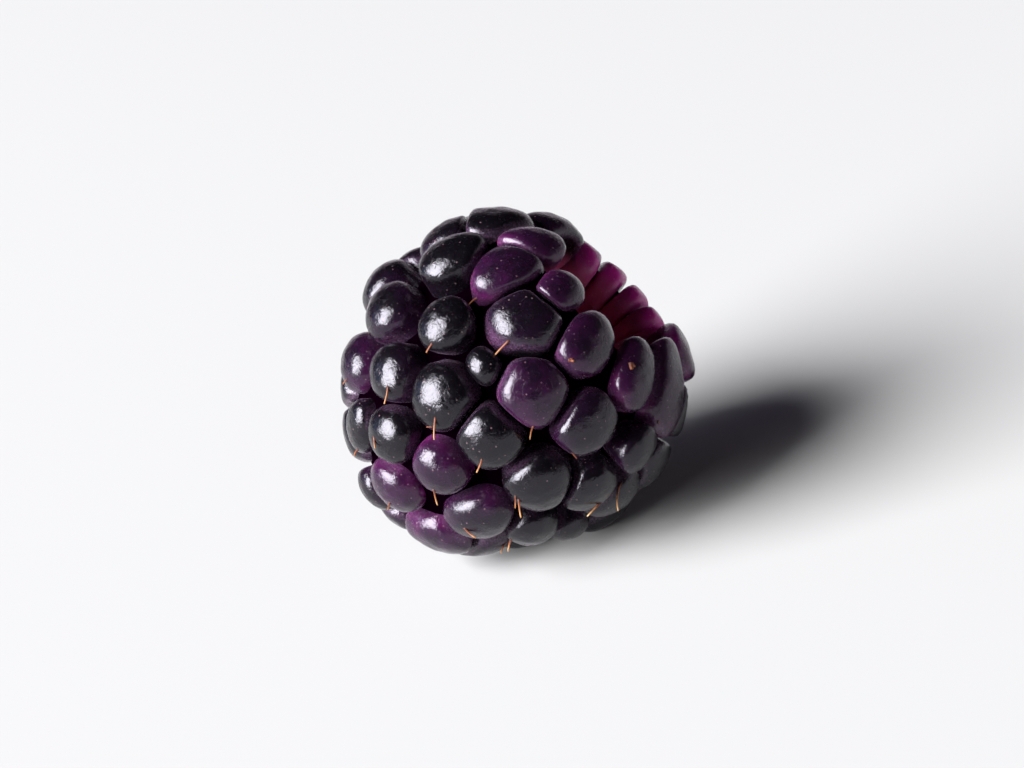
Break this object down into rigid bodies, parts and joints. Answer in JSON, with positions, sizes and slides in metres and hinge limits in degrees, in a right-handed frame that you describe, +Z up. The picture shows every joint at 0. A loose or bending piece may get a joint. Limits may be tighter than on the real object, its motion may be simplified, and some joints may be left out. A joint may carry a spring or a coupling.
{
  "type": "bramble berry",
  "caption": "Ripe hollow bramble berry, a dark purple cup of glossy rounded drupelets lying on its side with its open end tipped up.",
  "frame": {"origin": "middle of the bounding box in plan, at the surface that the berry rests on", "axes": "+Z up; +X towards the open end, which is tipped up from level; +Y to the berry's far side"},
  "size_m": [0.0184, 0.0174, 0.0174],
  "materials": {
    "skin": "glossy"
  },
  "bodies": {
    "root": {"berry": "skin"}
  },
  "joints": []
}
